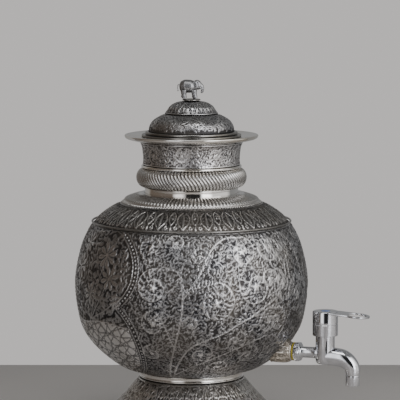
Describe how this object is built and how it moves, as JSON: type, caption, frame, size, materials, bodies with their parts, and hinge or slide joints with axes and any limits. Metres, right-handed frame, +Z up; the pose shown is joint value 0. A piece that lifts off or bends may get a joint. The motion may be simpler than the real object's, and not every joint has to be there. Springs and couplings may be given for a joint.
{
  "type": "water dispenser pot",
  "caption": "Round footed silver water pot with chased scrollwork, a lift-off domed lid with an elephant finial and a chrome quarter-turn tap.",
  "frame": {"origin": "on the pot's axis, at the underside of the foot's felt", "axes": "+Z up along the pot's axis; +X towards the tap"},
  "size_m": [0.4332, 0.3346, 0.4909],
  "materials": {
    "chased_silver": "oxidised repousse silver, bright on the high spots",
    "polished_silver": "mirror polished silver",
    "satin_silver": "satin silver",
    "chrome": "bright chrome plate",
    "brass": "turned brass",
    "steel": "stainless screw",
    "ceramic": "lapped ceramic, opaque",
    "yellow_seal": "yellow sealing washer",
    "rubber": "black rubber",
    "felt": "dark green felt",
    "index_blue": "blue index cap"
  },
  "bodies": {
    "pot": {"base_felt": "felt", "base_plate": "satin_silver", "foot_rim": "polished_silver", "foot_shell": "chased_silver", "foot_ring": "polished_silver", "body_lower": "chased_silver", "body_upper": "chased_silver", "shoulder_shell": "chased_silver", "shoulder_fillet": "satin_silver", "neck_sleeve": "satin_silver", "collar_plate": "polished_silver", "neck_band": "polished_silver", "gadroon_ring": "chased_silver", "neck_moulding": "polished_silver", "neck_frieze": "chased_silver", "rim_lip": "polished_silver", "tap_boss": "chased_silver", "tap_washer": "yellow_seal", "tap_body": "chrome", "outlet_nozzle": "chrome", "seat_seal": "rubber", "fixed_disc": "ceramic", "cartridge_body": "brass", "spindle_o_ring": "rubber"},
    "lid": {"lid_flange": "satin_silver", "lid_bezel": "satin_silver", "lid_step": "satin_silver", "lid_lower_dome": "chased_silver", "lid_upper_dome": "chased_silver", "elephant": "satin_silver", "finial_stud": "brass", "finial_pad": "satin_silver", "finial_washer": "brass", "finial_nut": "brass"},
    "lever": {"moving_disc": "ceramic", "spindle": "brass", "tap_lever": "chrome", "handle_screw": "steel", "index_cap": "index_blue"}
  },
  "joints": [
    {"name": "lid_lift", "type": "slide", "parent": "pot", "child": "lid", "axis": [0, 0, 1], "range_m": [0, 0.12]},
    {"name": "lever_turn", "type": "hinge", "parent": "pot", "child": "lever", "pos_m": [0.20107, 0, 0.134], "axis": [0, 0, 1], "range_deg": [0, 90]}
  ]
}
